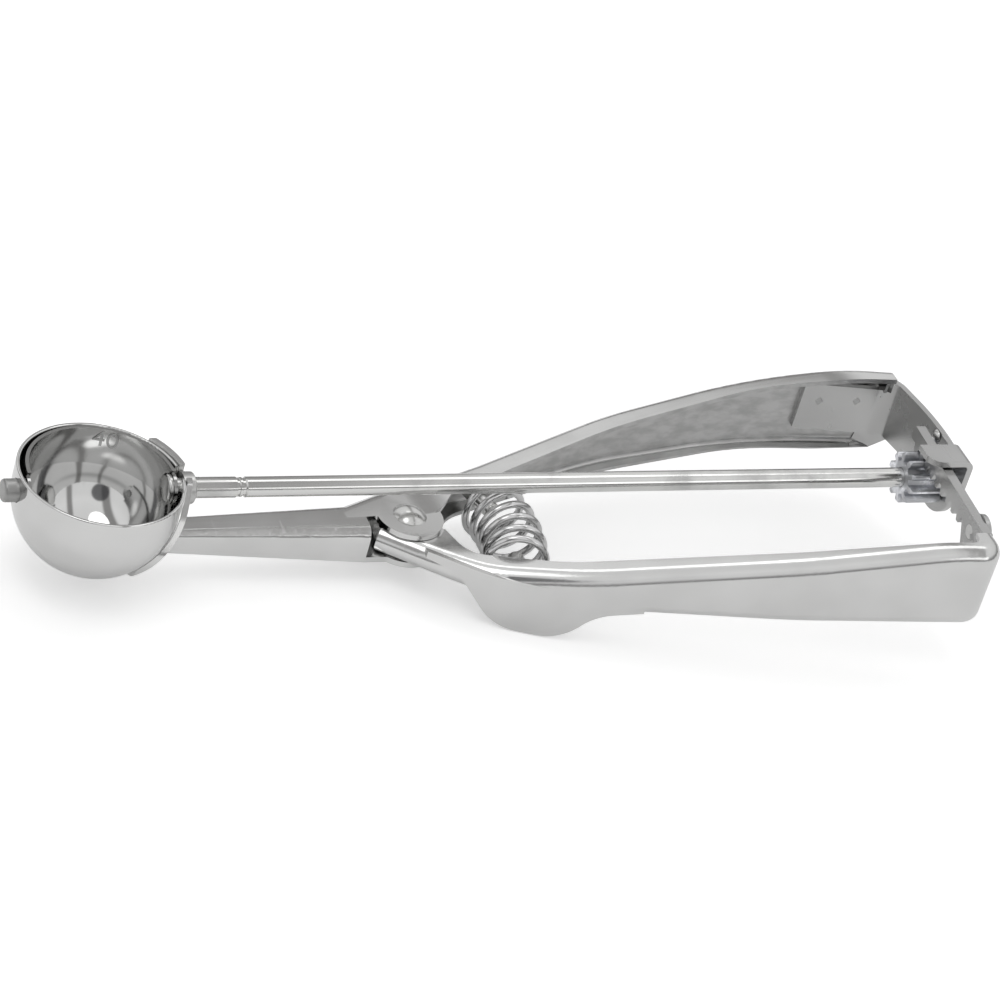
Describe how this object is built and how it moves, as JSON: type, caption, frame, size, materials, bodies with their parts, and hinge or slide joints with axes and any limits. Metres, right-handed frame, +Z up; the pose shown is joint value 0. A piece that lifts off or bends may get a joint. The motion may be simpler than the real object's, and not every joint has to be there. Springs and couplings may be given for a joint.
{
  "type": "lever ice cream scoop",
  "caption": "Squeeze-handle ice cream scoop: round bowl with a turning scraper blade, worked by a rod, pinion, toothed rack, lever handle and return spring.",
  "frame": {"origin": "under the middle of the whole scoop, on the level that its lowest point lies on", "axes": "+X from the bowl to the handle ends, +Y from the moving lever to the fixed handle, +Z up, out of the bowl's mouth"},
  "size_m": [0.19, 0.061, 0.0285],
  "materials": {
    "polished_steel": "polished stainless steel with fine handling scratches",
    "plain_steel": "plain stainless steel, as stamped or turned",
    "blade_steel": "thin polished stainless strip",
    "rod_steel": "turned and polished stainless steel",
    "spring_wire": "bright drawn spring wire",
    "gear_metal": "cast, plated metal with a bluish cast skin"
  },
  "bodies": {
    "frame": {"bowl": "polished_steel", "bowl_saddle": "polished_steel", "shaft_bushing": "plain_steel", "frame_upper": "polished_steel", "frame_lower": "polished_steel", "pivot_rivet": "plain_steel", "end_bracket": "polished_steel", "stop_rivet": "plain_steel", "spring_post_fixed": "plain_steel", "return_spring": "spring_wire"},
    "lever": {"lever_handle": "polished_steel", "rack": "plain_steel", "rack_mount_tab": "plain_steel", "rack_rivet": "plain_steel", "spring_post_lever": "plain_steel", "pivot_spacer": "plain_steel"},
    "drive": {"scraper_blade": "blade_steel", "blade_pin": "plain_steel", "blade_shaft": "rod_steel", "drive_rod": "rod_steel", "pinion": "gear_metal"}
  },
  "joints": [
    {"name": "lever_squeeze", "type": "hinge", "parent": "frame", "child": "lever", "pos_m": [-0.01575, 0.00452, 0.0081], "axis": [0, 0, 1], "range_deg": [0, 7], "stiffness_Nm_per_rad": 4, "springref_deg": -8.59, "deforming": ["return_spring"]},
    {"name": "blade_turn", "type": "hinge", "parent": "frame", "child": "drive", "pos_m": [-0.07735, 0.00452, 0.0188], "axis": [1, 0, 0], "range_deg": [-173, 0]}
  ],
  "couplings": [
    {"joint": "blade_turn", "follows": "lever_squeeze", "ratio": -24.625}
  ]
}
